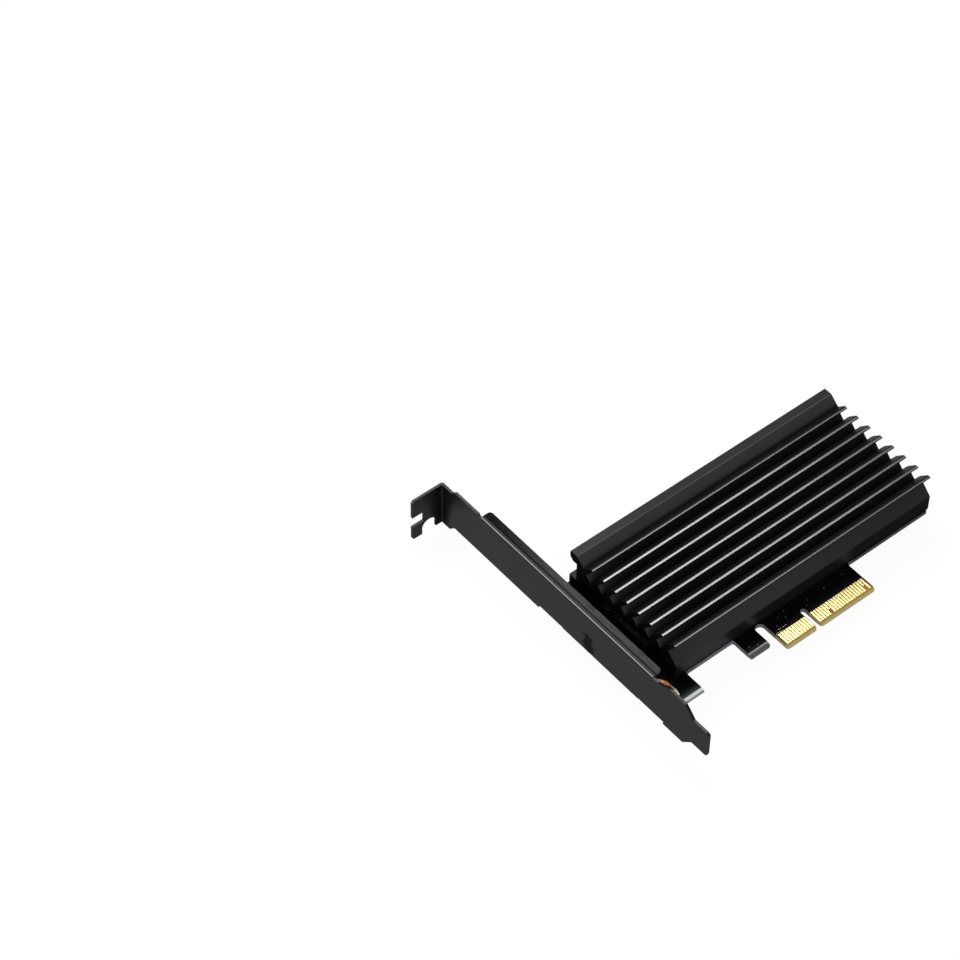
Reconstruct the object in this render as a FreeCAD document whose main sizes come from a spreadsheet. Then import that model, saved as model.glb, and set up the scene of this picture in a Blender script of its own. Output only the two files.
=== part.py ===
import FreeCAD, Part
import math
import os

import Sketcher

# An M.2 drive adapter card: an x4 edge-connector board under a finned aluminium heatsink,
# held by a folded full-height bracket. The drive bay lies between the board and the heatsink.
#
# Frame: X = 0 is the bracket's outer face and +X runs to the card's far end, Y = 0 is the nose
# of the edge connector and +Y runs to the bracket's ear, Z = 0 is the component face of the board
# and +Z points to the heatsink. All lengths are in millimetres.

SIZES = {
    # Overall
    "card_length": 126.04,
    "bracket_length": 120.02,
    "card_width": 59.7,
    # Board
    "board_thickness": 1.57,
    "board_left": 1.6,
    "board_end_inset": 0.84,
    "board_top_inset": 0.2,
    "board_edge": 12.2,
    "board_inner_radius": 0.7,
    "board_nose_chamfer": 0.8,
    "foot_right": 16.05,
    "foot_nose": 4.0,
    "foot_bevel": 1.37,
    "tab_left": 34.7,
    "tab_right": 42.3,
    "tab_bevel": 1.8,
    "slot_top": 12.0,
    "connector_left": 45.6,
    "connector_right": 80.7,
    "connector_bevel": 1.15,
    "bevel_depth": 0.5,
    "key_left": 57.15,
    "key_width": 1.9,
    "key_top": 8.15,
    # Contacts
    "copper_thickness": 0.05,
    "finger_pitch": 1.0,
    "finger_width": 0.7,
    "finger_tip": 1.23,
    "finger_end": 5.53,
    "short_finger_tip": 3.0,
    "finger_first": 46.6,
    "short_group_count": 11,
    "finger_after_key": 59.6,
    "long_group_count": 21,
    "short_contact_near": 5,
    "short_contact_far": 19,
    # Heatsink
    "sink_left": 12.17,
    "sink_front": 12.45,
    "front_wall": 5.05,
    "side_groove_depth": 3.0,
    "back_wall": 1.6,
    "ceiling": 5.2,
    "side_foot_top": 3.2,
    "lip_under": 10.3,
    "lip_under_inset": 1.3,
    "lip_outer_foot": 11.6,
    "lip_top": 13.95,
    "lip_width": 3.07,
    "lip_slope_run": 3.63,
    "lip_foot_height": 10.85,
    "lip_front_radius": 0.2,
    "fin_top": 13.65,
    "fin_first_inset": 10.1,
    "fin_last_inset": 1.051,
    "fin_count": 8,
    "fin_depth": 6.14,
    "fin_root_inset": 0.75,
    "fin_ramp": 2.0,
    "fin_front_drop": 0.5,
    "fin_tip_width": 1.03,
    "fin_back_reach": 4.0,
    "fin_back_drop": 2.95,
    "fin_back_radius": 8.0,
    "fin_merge": 0.6,
    "sink_edge_radius": 0.4,
    # Heatsink screws
    "sink_screw_left": 19.0,
    "sink_screw_end_inset": 7.64,
    "sink_screw_front": 14.9,
    "sink_screw_back_inset": 2.3,
    "sink_screw_radius": 0.95,
    "sink_screw_hole": 1.15,
    "sink_thread_hole": 1.0,
    "sink_screw_length": 4.0,
    "sink_thread_depth": 2.8,
    "sink_head_radius": 1.9,
    "sink_head_height": 1.3,
    "sink_head_chamfer": 0.3,
    # Bracket
    "sheet": 0.86,
    "tongue_tip": -14.62,
    "tongue_low": 0.9,
    "tongue_high": 11.1,
    "tongue_radius": 1.2,
    "face_low": -2.75,
    "face_relief": -1.95,
    "relief_start": 3.9,
    "relief_end": 59.3,
    "face_shoulder": -4.4,
    "shoulder_high": 14.85,
    "foot_high": 15.1,
    "foot_high_end": 2.1,
    "ramp_end": 7.3,
    "ramp_low": 13.1,
    "flange_start": 9.6,
    "flange_end_inset": 19.1,
    "flange_outer": 13.7,
    "flange_depth": 3.75,
    "flange_corner": 1.2,
    "bend_inner": 0.15,
    "flange_relief": 12.9,
    "face_step_inset": 17.8,
    "face_high": 13.6,
    "neck_start_inset": 7.0,
    "neck_low_inset": 6.9,
    "ear_low": -5.15,
    "ear_high": 12.1,
    "ear_depth": 11.4,
    "ear_corner": 0.9,
    "notch_centre": -5.0,
    "notch_radius": 2.65,
    "notch_depth": -0.1,
    "ear_slot_low": 0.6,
    "ear_slot_high": 4.7,
    "ear_slot_depth": 4.4,
    "tab_depth": 10.0,
    "tab_width": 11.0,
    "tab_corner": 3.0,
    # Bracket screws
    "mount_across": 5.55,
    "mount_low": 9.4,
    "mount_spacing": 44.4,
    "pad_radius": 4.2,
    "pad_straight": 2.6,
    "bracket_screw_radius": 1.45,
    "bracket_screw_hole": 1.6,
    "bracket_screw_length": 3.3,
    "bracket_head_radius": 3.0,
    "bracket_head_height": 2.1,
    "head_shoulder": 0.25,
    "head_crown": 0.9,
    "recess_width": 0.75,
    "recess_span": 3.4,
    "recess_depth": 1.2,
    # Drive bay
    "bay_centre": 36.3,
    "socket_rear": 14.5,
    "socket_width": 22.0,
    "socket_depth": 8.7,
    "socket_height": 4.0,
    "socket_slot_low": 1.9,
    "socket_slot_high": 2.9,
    "socket_slot_rear": 2.6,
    "socket_lower_jaw": 6.9,
    "socket_lead": 0.5,
    "socket_cheek": 1.0,
    "socket_pitch": 0.5,
    "socket_pin_first": -9.25,
    "socket_pins_before_key": 29,
    "socket_pin_after_key": 7.25,
    "socket_pins_after_key": 5,
    "socket_key_width": 1.2,
    "socket_key_centre": 6.1,
    "pin_width": 0.2,
    "pin_channel": 0.28,
    "pin_gauge": 0.15,
    "pin_gap": 0.06,
    "pin_tail": 1.1,
    "hold_down_gauge": 0.25,
    "hold_down_depth": 3.2,
    "hold_down_height": 2.2,
    "hold_down_foot": 1.4,
    "drive_seat": 4.5,
    "drive_length": 80.0,
    "standoff_radius": 2.75,
    "standoff_height": 2.5,
    "standoff_thread": 1.0,
    "standoff_spigot": 1.9,
    "standoff_spigot_length": 1.2,
    "position_hole": 2.0,
    "position_ring": 3.0,
    "position_spacing_near": 20.0,
    "position_spacing_far": 18.0,
    "position_spacing_last": 12.0,
    "pad_left": 25.0,
    "pad_length": 70.0,
    "pad_width": 18.0,
    "pad_thickness": 1.0,
    # Small parts
    "parts_row": 20.6,
    "bulk_first": 44.0,
    "bulk_spacing": 9.0,
    "bulk_count": 3,
    "bulk_length": 3.5,
    "bulk_width": 2.8,
    "bulk_height": 1.9,
    "terminal": 0.4,
    "ceramic_first": 26.0,
    "ceramic_spacing": 2.6,
    "ceramic_count": 6,
    "ceramic_length": 1.6,
    "ceramic_width": 0.8,
    "ceramic_height": 0.8,
    "resistor_first": 72.0,
    "resistor_spacing": 2.6,
    "resistor_count": 4,
    "resistor_height": 0.5,
    "led_first": 84.0,
    "led_spacing": 4.0,
    "led_height": 0.7,
    "transistor_across": 92.0,
    "transistor_length": 2.9,
    "transistor_width": 1.3,
    "transistor_height": 1.0,
    "transistor_leg": 0.5,
    "transistor_leg_gauge": 0.15,
    "transistor_leg_reach": 0.55,
    "transistor_leg_spacing": 0.95,
}

# The least difference that counts, and the share of the largest possible radius that a rounded
# end takes, so that its two arcs never touch.
EPSILON = 1e-4
ROUNDED = 0.98

doc = FreeCAD.newDocument("adapter_card")
sheet = doc.addObject("Spreadsheet::Sheet", "Sizes")


class Size:
    """A length with its present value and the sheet expression that gives it."""

    def __init__(self, value, text):
        self.value = value
        self.text = text

    def __add__(self, other):
        other = as_size(other)
        return Size(self.value + other.value, "(%s + %s)" % (self.text, other.text))

    def __sub__(self, other):
        other = as_size(other)
        return Size(self.value - other.value, "(%s - %s)" % (self.text, other.text))

    def __mul__(self, other):
        other = as_size(other)
        return Size(self.value * other.value, "(%s * %s)" % (self.text, other.text))

    def __truediv__(self, other):
        other = as_size(other)
        return Size(self.value / other.value, "(%s / %s)" % (self.text, other.text))

    def __neg__(self):
        return Size(-self.value, "(0 - %s)" % self.text)

    def __radd__(self, other):
        return as_size(other) + self

    def __rsub__(self, other):
        return as_size(other) - self


def as_size(number):
    """Return a plain number as a Size."""
    if isinstance(number, Size):
        return number
    return Size(float(number), repr(float(number)))


class Sizes:
    """Every named size of the sheet, as an attribute."""

    def __init__(self, table):
        for row, (alias, value) in enumerate(table.items(), 1):
            cell = "B%d" % row
            sheet.set("A%d" % row, alias)
            sheet.set(cell, str(value))
            sheet.setAlias(cell, alias)
            setattr(self, alias, Size(float(value), "Sizes." + alias))


size = Sizes(SIZES)
doc.recompute()

# Ends and edges that follow the overall sizes.
sink_right = size.card_length - size.ear_depth
sink_length = sink_right - size.sink_left
board_right = sink_right - size.board_end_inset
board_top = size.card_width - size.board_top_inset
bracket_top = size.bracket_length + size.tongue_tip
sink_screw_spacing = sink_right - size.sink_screw_end_inset - size.sink_screw_left
sink_screw_rise = size.card_width - size.sink_screw_back_inset - size.sink_screw_front
standoff_across = size.socket_rear + size.drive_seat + size.drive_length


# ---------------------------------------------------------------- drawing helpers

def bind(thing, prop, value):
    """Tie a property to the sheet."""
    thing.setExpression(prop, as_size(value).text)


def new_body(label, x=0, y=0, z=0):
    """Start a sub-part at its place in the card."""
    body = doc.addObject("PartDesign::Body", label)
    body.Label = label
    for axis, place in zip("xyz", (x, y, z)):
        bind(body, "Placement.Base." + axis, place)
    return body


def origin_feature(body, role):
    """Find one of the body's own origin planes or axes."""
    return [item for item in body.Origin.OriginFeatures if item.Role == role][0]


def new_sketch(body, plane, name, start):
    """Attach a sketch to a plane of the body's origin, moved to start along the plane's axis."""
    sketch = body.newObject("Sketcher::SketchObject", name)
    sketch.AttachmentSupport = [(origin_feature(body, plane), "")]
    sketch.MapMode = "FlatFace"
    along_normal = -as_size(start) if plane == "XZ_Plane" else start
    bind(sketch, "AttachmentOffset.Base.z", along_normal)
    return sketch


def fix_point(sketch, geometry, position, x, y):
    """Hold a point of the sketch at x, y."""
    for kind, place in (("DistanceX", x), ("DistanceY", y)):
        place = as_size(place)
        number = sketch.addConstraint(
            Sketcher.Constraint(kind, -1, 1, geometry, position, place.value))
        bind(sketch, "Constraints[%d]" % number, place)


def corner_arc(before, corner, after, radius):
    """Return the arc that rounds a corner, and whether it turns left."""
    back = (before - corner).normalize()
    ahead = (after - corner).normalize()
    half = back.getAngle(ahead) / 2
    first = corner + back * (radius / math.tan(half))
    last = corner + ahead * (radius / math.tan(half))
    centre = corner + (back + ahead).normalize() * (radius / math.sin(half))
    turns_left = back.cross(ahead).z < 0
    ends = (first, last) if turns_left else (last, first)
    angles = [math.atan2(end.y - centre.y, end.x - centre.x) for end in ends]
    circle = Part.Circle(centre, FreeCAD.Vector(0, 0, 1), radius)
    return Part.ArcOfCircle(circle, angles[0], angles[1]), first, last, turns_left


def draw_loop(sketch, corners):
    """Draw a closed outline through (x, y) or (x, y, radius) corners, all tied to the sheet."""
    corners = [tuple(as_size(entry) for entry in corner) for corner in corners]
    points = [FreeCAD.Vector(corner[0].value, corner[1].value, 0) for corner in corners]
    count = len(corners)
    arrive = list(points)
    leave = list(points)
    arcs = {}
    for i, corner in enumerate(corners):
        if len(corner) == 3:
            arc, arrive[i], leave[i], turns_left = corner_arc(
                points[i - 1], points[i], points[(i + 1) % count], corner[2].value)
            arcs[i] = (arc, turns_left)
    lines = [sketch.addGeometry(Part.LineSegment(leave[i], arrive[(i + 1) % count]), False)
             for i in range(count)]
    for i, corner in enumerate(corners):
        line_in = lines[i - 1]
        line_out = lines[i]
        if i not in arcs:
            sketch.addConstraint(Sketcher.Constraint("Coincident", line_in, 2, line_out, 1))
            fix_point(sketch, line_out, 1, corner[0], corner[1])
            continue
        arc = sketch.addGeometry(arcs[i][0], False)
        arc_start, arc_end = (1, 2) if arcs[i][1] else (2, 1)
        sketch.addConstraint(Sketcher.Constraint("Tangent", line_in, 2, arc, arc_start))
        sketch.addConstraint(Sketcher.Constraint("Tangent", arc, arc_end, line_out, 1))
        number = sketch.addConstraint(Sketcher.Constraint("Radius", arc, corner[2].value))
        bind(sketch, "Constraints[%d]" % number, corner[2])
        point = sketch.addGeometry(Part.Point(points[i]), True)
        sketch.addConstraint(Sketcher.Constraint("PointOnObject", point, 1, line_in))
        sketch.addConstraint(Sketcher.Constraint("PointOnObject", point, 1, line_out))
        fix_point(sketch, point, 1, corner[0], corner[1])


def draw_circle(sketch, x, y, radius):
    """Draw a circle tied to the sheet."""
    x, y, radius = as_size(x), as_size(y), as_size(radius)
    centre = FreeCAD.Vector(x.value, y.value, 0)
    circle = sketch.addGeometry(
        Part.Circle(centre, FreeCAD.Vector(0, 0, 1), radius.value), False)
    fix_point(sketch, circle, 3, x, y)
    number = sketch.addConstraint(Sketcher.Constraint("Radius", circle, radius.value))
    bind(sketch, "Constraints[%d]" % number, radius)


def extrude(body, kind, name, plane, start, length, loops, circles, backwards):
    """Extrude closed loops and circles from start in the plane's positive direction."""
    sketch = new_sketch(body, plane, name + "_sketch", start)
    for loop in loops:
        draw_loop(sketch, loop)
    for circle in circles:
        draw_circle(sketch, *circle)
    feature = body.newObject(kind, name)
    feature.Profile = sketch
    feature.Reversed = backwards
    bind(feature, "Length", length)
    return feature


def add(body, name, plane, start, length, loops=(), circles=()):
    """Pad material on."""
    return extrude(body, "PartDesign::Pad", name, plane, start, length, loops, circles,
                   plane == "XZ_Plane")


def cut(body, name, plane, start, length, loops=(), circles=()):
    """Pocket material away."""
    return extrude(body, "PartDesign::Pocket", name, plane, start, length, loops, circles,
                   plane != "XZ_Plane")


def turn(body, name, profile):
    """Revolve a (radius, height) profile about the body's own Z axis."""
    sketch = new_sketch(body, "XZ_Plane", name + "_sketch", 0)
    draw_loop(sketch, profile)
    feature = body.newObject("PartDesign::Revolution", name)
    feature.Profile = sketch
    feature.ReferenceAxis = (origin_feature(body, "Z_Axis"), [""])
    return feature


def repeat(body, name, features, axis, count, pitch):
    """Repeat features in a row along one axis."""
    pattern = body.newObject("PartDesign::LinearPattern", name)
    pattern.Originals = features
    pattern.Direction = (origin_feature(body, axis + "_Axis"), [""])
    pattern.Mode = "Spacing"
    bind(pattern, "Offset", pitch)
    bind(pattern, "Occurrences", count)
    body.Tip = pattern
    return pattern


def repeat_grid(body, name, features, across, along):
    """Repeat features at the four corners of a rectangle."""
    grid = body.newObject("PartDesign::MultiTransform", name)
    rows = []
    for axis, pitch in (("X", across), ("Y", along)):
        row = body.newObject("PartDesign::LinearPattern", "%s_%s" % (name, axis.lower()))
        row.Direction = (origin_feature(body, axis + "_Axis"), [""])
        row.Mode = "Spacing"
        row.Occurrences = 2
        bind(row, "Offset", pitch)
        rows.append(row)
    grid.Originals = features
    grid.Transformations = rows
    body.Tip = grid


def round_edges(body, name, radius, along, **place):
    """Fillet the edges that run along one axis and lie at the given coordinates."""
    doc.recompute()
    base = body.Tip
    edges = []
    for number, edge in enumerate(base.Shape.Edges, 1):
        ends = [vertex.Point for vertex in edge.Vertexes]
        placed = all(abs(getattr(end, axis) - as_size(target).value) < EPSILON
                     for end in ends for axis, target in place.items())
        span = ends[-1] - ends[0]
        if placed and abs(getattr(span, along)) > span.Length - EPSILON > 0:
            edges.append("Edge%d" % number)
    fillet = body.newObject("PartDesign::Fillet", name)
    fillet.Base = (base, edges)
    bind(fillet, "Radius", radius)
    return fillet


def rectangle(left, low, right, high):
    """Corners of a rectangle."""
    return [(left, low), (right, low), (right, high), (left, high)]


def centred(width, depth):
    """Corners of a rectangle round the origin."""
    return rectangle(-width / 2, -depth / 2, width / 2, depth / 2)


# ---------------------------------------------------------------- board and its copper

def sink_screw_places():
    """The heatsink's four screw centres."""
    right = size.sink_screw_left + sink_screw_spacing
    back = size.sink_screw_front + sink_screw_rise
    return [(x, y) for x in (size.sink_screw_left, right) for y in (size.sink_screw_front, back)]


def bracket_screw_places():
    """The bracket's two screw centres."""
    return [(size.mount_across, size.mount_low),
            (size.mount_across, size.mount_low + size.mount_spacing)]


def drive_positions():
    """X of the standoff and of the three spare positions, from the far one inwards."""
    third = standoff_across - size.position_spacing_near
    second = third - size.position_spacing_far
    return [standoff_across, third, second, second - size.position_spacing_last]


def circuit_board():
    body = new_body("circuit_board")
    inner = size.board_inner_radius
    nose = size.board_nose_chamfer
    slot_round = (size.connector_left - size.tab_right) / 2 * ROUNDED
    key_right = size.key_left + size.key_width
    key_round = size.key_width / 2 * ROUNDED
    outline = [
        (size.board_left, board_top),
        (size.board_left, size.foot_nose, nose),
        (size.foot_right, size.foot_nose),
        (size.foot_right, size.board_edge, inner),
        (size.tab_left, size.board_edge, inner),
        (size.tab_left, size.foot_nose),
        (size.tab_right, size.foot_nose, nose),
        (size.tab_right, size.slot_top, slot_round),
        (size.connector_left, size.slot_top, slot_round),
        (size.connector_left, 0, nose),
        (size.key_left, 0, nose),
        (size.key_left, size.key_top, key_round),
        (key_right, size.key_top, key_round),
        (key_right, 0, nose),
        (size.connector_right, 0, nose),
        (size.connector_right, size.board_edge, inner),
        (board_right, size.board_edge),
        (board_right, board_top),
    ]
    back = -size.board_thickness
    add(body, "blank", "XY_Plane", back, size.board_thickness, [outline])
    bevels = [
        ("foot", size.board_left, size.foot_right, size.foot_nose, size.foot_bevel),
        ("tab", size.tab_left, size.tab_right, size.foot_nose, size.tab_bevel),
        ("connector", size.connector_left, size.connector_right, 0, size.connector_bevel),
    ]
    for name, left, right, edge, bevel in bevels:
        top_wedge = [(edge, 0), (edge + bevel, 0), (edge, -size.bevel_depth)]
        back_wedge = [(edge, back), (edge + bevel, back), (edge, back + size.bevel_depth)]
        cut(body, name + "_bevel", "YZ_Plane", left, right - left, [top_wedge, back_wedge])
    holes = [place + (size.bracket_screw_hole,) for place in bracket_screw_places()]
    holes += [place + (size.sink_screw_hole,) for place in sink_screw_places()]
    holes += [(x, size.bay_centre, size.position_hole) for x in drive_positions()]
    cut(body, "holes", "XY_Plane", back, size.board_thickness, circles=holes)


def edge_contacts(label, bottom, shortened):
    """Both rows of edge contacts of one side, with the shortened ones cut back."""
    body = new_body(label, z=bottom)
    rows = [
        ("near_row", size.finger_first, size.short_group_count),
        ("far_row", size.finger_after_key, size.long_group_count),
    ]
    half = size.finger_width / 2
    for name, first, count in rows:
        finger = rectangle(first - half, size.finger_tip, first + half, size.finger_end)
        contact = add(body, name, "XY_Plane", 0, size.copper_thickness, [finger])
        repeat(body, name + "_pattern", [contact], "X", count, size.finger_pitch)
    cuts = [rectangle(x - half, size.finger_tip, x + half, size.short_finger_tip)
            for x in shortened]
    cut(body, "short_contacts", "XY_Plane", 0, size.copper_thickness, cuts)


def component_side_contacts():
    shortened = [size.finger_after_key + size.finger_pitch * size.short_contact_near,
                 size.finger_after_key + size.finger_pitch * size.short_contact_far]
    edge_contacts("edge_contacts_component_side", 0, shortened)


def solder_side_contacts():
    bottom = -size.board_thickness - size.copper_thickness
    edge_contacts("edge_contacts_solder_side", bottom, [size.finger_first])


def ground_pads(label, bottom):
    """Obround copper round each bracket screw, with the screw's hole through it."""
    body = new_body(label, z=bottom)
    round_end = size.pad_radius * ROUNDED
    for name, (x, y) in zip(("low", "high"), bracket_screw_places()):
        low = y - size.pad_radius
        high = y + size.pad_radius + size.pad_straight
        if name == "high":
            low = y - size.pad_radius - size.pad_straight
            high = y + size.pad_radius
        left = x - size.pad_radius
        right = x + size.pad_radius
        obround = [(left, low, round_end), (right, low, round_end),
                   (right, high, round_end), (left, high, round_end)]
        add(body, name + "_pad", "XY_Plane", 0, size.copper_thickness, [obround],
            [(x, y, size.bracket_screw_hole)])


def length_position_pads():
    """Plated rings round the four drive length positions."""
    body = new_body("length_position_pads")
    rings = [(x, size.bay_centre, radius) for x in drive_positions()
             for radius in (size.position_ring, size.position_hole)]
    add(body, "rings", "XY_Plane", 0, size.copper_thickness, circles=rings)


# ---------------------------------------------------------------- heatsink

def heatsink():
    """An extrusion: walls, ceiling and lip first, then one leaning fin repeated."""
    body = new_body("heatsink")
    groove = size.fin_top - size.fin_depth
    tip = size.card_width - size.fin_first_inset
    fin_last = size.sink_front + size.fin_last_inset
    fin_pitch = (tip - fin_last) / (size.fin_count - 1)
    wall_outer = size.card_width - size.side_groove_depth
    wall_inner = wall_outer - size.back_wall
    lip_front = size.card_width - size.lip_width
    lip_foot = lip_front - size.lip_slope_run
    ramp_top = fin_last + size.fin_root_inset
    ramp_rise = ramp_top - size.sink_front
    section = [
        (size.sink_front, 0),
        (size.sink_front + size.front_wall, 0),
        (size.sink_front + size.front_wall, size.ceiling),
        (wall_inner, size.ceiling),
        (wall_inner, 0),
        (size.card_width, 0),
        (size.card_width, size.side_foot_top),
        (wall_outer, size.side_foot_top),
        (wall_outer, size.lip_under),
        (size.card_width - size.lip_under_inset, size.lip_under),
        (size.card_width, size.lip_outer_foot),
        (size.card_width, size.lip_top, size.sink_edge_radius),
        (lip_front, size.lip_top, size.lip_front_radius),
        (lip_foot, size.lip_foot_height),
        (lip_foot, groove),
        (ramp_top, groove),
        (size.sink_front, groove - ramp_rise),
    ]
    add(body, "walls", "YZ_Plane", size.sink_left, sink_length, [section])
    root = tip + size.fin_root_inset
    ramp_end = root + size.fin_ramp
    back_foot = root + fin_pitch
    back_corner = tip + size.fin_back_reach
    fin = [
        (root, groove),
        (root, groove - size.fin_merge),
        (back_foot, groove - size.fin_merge),
        (back_foot, groove),
        (back_corner, size.fin_top - size.fin_back_drop, size.fin_back_radius),
        (tip + size.fin_tip_width, size.fin_top),
        (tip, size.fin_top),
        (tip, size.fin_top - size.fin_front_drop),
        (ramp_end, groove + size.fin_ramp),
    ]
    blade = add(body, "fin", "YZ_Plane", size.sink_left, sink_length, [fin])
    repeat(body, "fins", [blade], "Y", size.fin_count, fin_pitch).Reversed = True
    holes = [place + (size.sink_thread_hole,) for place in sink_screw_places()]
    cut(body, "screw_holes", "XY_Plane", 0, size.sink_thread_depth, circles=holes)


def bracket_screws():
    """Two pan-head screws from the component side into the bracket's tabs."""
    body = new_body("bracket_screws", size.mount_across, size.mount_low, size.copper_thickness)
    head_height = size.bracket_head_height
    turned = turn(body, "turned", [
        (0, -size.bracket_screw_length),
        (size.bracket_screw_radius, -size.bracket_screw_length),
        (size.bracket_screw_radius, 0),
        (size.bracket_head_radius, 0),
        (size.bracket_head_radius, head_height - size.head_crown),
        (size.bracket_head_radius - size.head_shoulder, head_height - size.head_shoulder),
        (size.bracket_head_radius - size.head_crown, head_height),
        (0, head_height),
    ])
    depth = size.recess_depth
    slots = [centred(size.recess_span, size.recess_width),
             centred(size.recess_width, size.recess_span)]
    recesses = [cut(body, "recess_%d" % number, "XY_Plane", head_height - depth, depth, [slot])
                for number, slot in enumerate(slots)]
    repeat(body, "pair", [turned] + recesses, "Y", as_size(2), size.mount_spacing)


def heatsink_screws():
    """Four screws from the solder side into the heatsink's walls."""
    body = new_body("heatsink_screws", size.sink_screw_left, size.sink_screw_front,
                    -size.board_thickness)
    length = size.sink_screw_length
    head = size.sink_head_radius
    head_height = size.sink_head_height
    turned = turn(body, "turned", [
        (0, length),
        (size.sink_screw_radius, length),
        (size.sink_screw_radius, 0),
        (head, 0),
        (head, size.sink_head_chamfer - head_height),
        (head - size.sink_head_chamfer, -head_height),
        (0, -head_height),
    ])
    scale = head / size.bracket_head_radius
    span = size.recess_span * scale
    width = size.recess_width * scale
    depth = size.recess_depth * scale
    recess = cut(body, "recess", "XY_Plane", -head_height, depth, [centred(span, width)])
    cross = cut(body, "cross_recess", "XY_Plane", -head_height, depth, [centred(width, span)])
    repeat_grid(body, "four", [turned, recess, cross], sink_screw_spacing, sink_screw_rise)


def thermal_pad():
    """Soft pad stuck to the heatsink's ceiling above the drive."""
    body = new_body("thermal_pad", size.pad_left, size.bay_centre - size.pad_width / 2,
                    size.ceiling - size.pad_thickness)
    add(body, "slab", "XY_Plane", 0, size.pad_thickness,
        [rectangle(0, 0, size.pad_length, size.pad_width)])


# ---------------------------------------------------------------- bracket

def bracket():
    """One folded sheet: face plate, flange, two screw tabs and the ear."""
    body = new_body("bracket")
    sheet_outer = size.bend_inner + size.sheet
    outer_bend = sheet_outer * ROUNDED
    tab_bottom = -size.board_thickness - size.copper_thickness - size.sheet
    tab_bend = tab_bottom + sheet_outer
    flange_bend = size.flange_outer - sheet_outer
    ear_bend = bracket_top - sheet_outer
    tab_half = size.tab_width / 2
    low_tab_end = size.mount_low + tab_half
    high_tab_start = size.mount_low + size.mount_spacing - tab_half
    flange_end = bracket_top - size.flange_end_inset
    face_step = bracket_top - size.face_step_inset
    neck_start = bracket_top - size.neck_start_inset
    neck_high = neck_start + (size.face_high - size.ear_high)
    neck_low = bracket_top - size.neck_low_inset
    ear_foot = neck_low + (size.face_low - size.ear_low)
    low_shoulder = size.face_shoulder - (size.tongue_low - size.face_low)
    high_shoulder = size.face_shoulder - (size.shoulder_high - size.tongue_high)
    face = [
        (ear_bend, size.ear_low),
        (ear_foot, size.ear_low),
        (neck_low, size.face_low),
        (size.relief_end, size.face_low),
        (size.relief_end, tab_bend),
        (high_tab_start, tab_bend),
        (high_tab_start, size.face_relief),
        (low_tab_end, size.face_relief),
        (low_tab_end, tab_bend),
        (size.relief_start, tab_bend),
        (size.relief_start, size.face_low),
        (size.face_shoulder, size.face_low),
        (low_shoulder, size.tongue_low),
        (size.tongue_tip, size.tongue_low, size.tongue_radius),
        (size.tongue_tip, size.tongue_high, size.tongue_radius),
        (high_shoulder, size.tongue_high),
        (size.face_shoulder, size.shoulder_high),
        (size.foot_high_end, size.foot_high),
        (size.ramp_end, size.ramp_low),
        (size.flange_start, size.ramp_low),
        (size.flange_start, flange_bend),
        (flange_end, flange_bend),
        (flange_end, size.flange_relief),
        (face_step, size.flange_relief),
        (face_step, size.face_high),
        (neck_start, size.face_high),
        (neck_high, size.ear_high),
        (ear_bend, size.ear_high),
    ]
    add(body, "face", "YZ_Plane", 0, size.sheet, [face])
    flange = [
        (0, flange_bend),
        (0, size.flange_outer, outer_bend),
        (size.flange_depth, size.flange_outer),
        (size.flange_depth, size.flange_outer - size.sheet),
        (size.sheet, size.flange_outer - size.sheet),
        (size.sheet, flange_bend),
    ]
    add(body, "flange", "XZ_Plane", size.flange_start, flange_end - size.flange_start, [flange])
    tab = [
        (0, tab_bend),
        (size.sheet, tab_bend),
        (size.sheet, tab_bottom + size.sheet),
        (size.tab_depth, tab_bottom + size.sheet),
        (size.tab_depth, tab_bottom),
        (0, tab_bottom, outer_bend),
    ]
    add(body, "low_tab", "XZ_Plane", size.relief_start, low_tab_end - size.relief_start,
        [tab])
    add(body, "high_tab", "XZ_Plane", high_tab_start, size.relief_end - high_tab_start, [tab])
    ear = [
        (0, ear_bend),
        (size.sheet, ear_bend),
        (size.sheet, bracket_top, outer_bend),
        (-size.ear_depth, bracket_top),
        (-size.ear_depth, bracket_top - size.sheet),
        (0, bracket_top - size.sheet),
    ]
    add(body, "ear", "XY_Plane", size.ear_low, size.ear_high - size.ear_low, [ear])
    notch_left = size.notch_centre - size.notch_radius
    notch_right = size.notch_centre + size.notch_radius
    notch_round = size.notch_radius * ROUNDED
    notch = [
        (notch_left, size.ear_low),
        (notch_right, size.ear_low),
        (notch_right, size.notch_depth, notch_round),
        (notch_left, size.notch_depth, notch_round),
    ]
    slot_inner = -size.ear_depth + size.ear_slot_depth
    slot = [
        (-size.ear_depth, size.ear_slot_low),
        (slot_inner, size.ear_slot_low),
        (slot_inner, size.ear_slot_high),
        (-size.ear_depth, size.ear_slot_high),
    ]
    ear_under = bracket_top - size.sheet
    cut(body, "ear_openings", "XZ_Plane", ear_under, size.sheet, [notch, slot])
    holes = [place + (size.bracket_screw_radius,) for place in bracket_screw_places()]
    cut(body, "tab_holes", "XY_Plane", tab_bottom, size.sheet, circles=holes)
    round_edges(body, "tab_corners", size.tab_corner, "z", x=size.tab_depth)
    round_edges(body, "flange_corners", size.flange_corner, "z", x=size.flange_depth)
    for name, height in (("ear_low_corner", size.ear_low), ("ear_high_corner", size.ear_high)):
        round_edges(body, name, size.ear_corner, "y", x=-size.ear_depth, z=height)


# ---------------------------------------------------------------- drive bay

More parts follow.
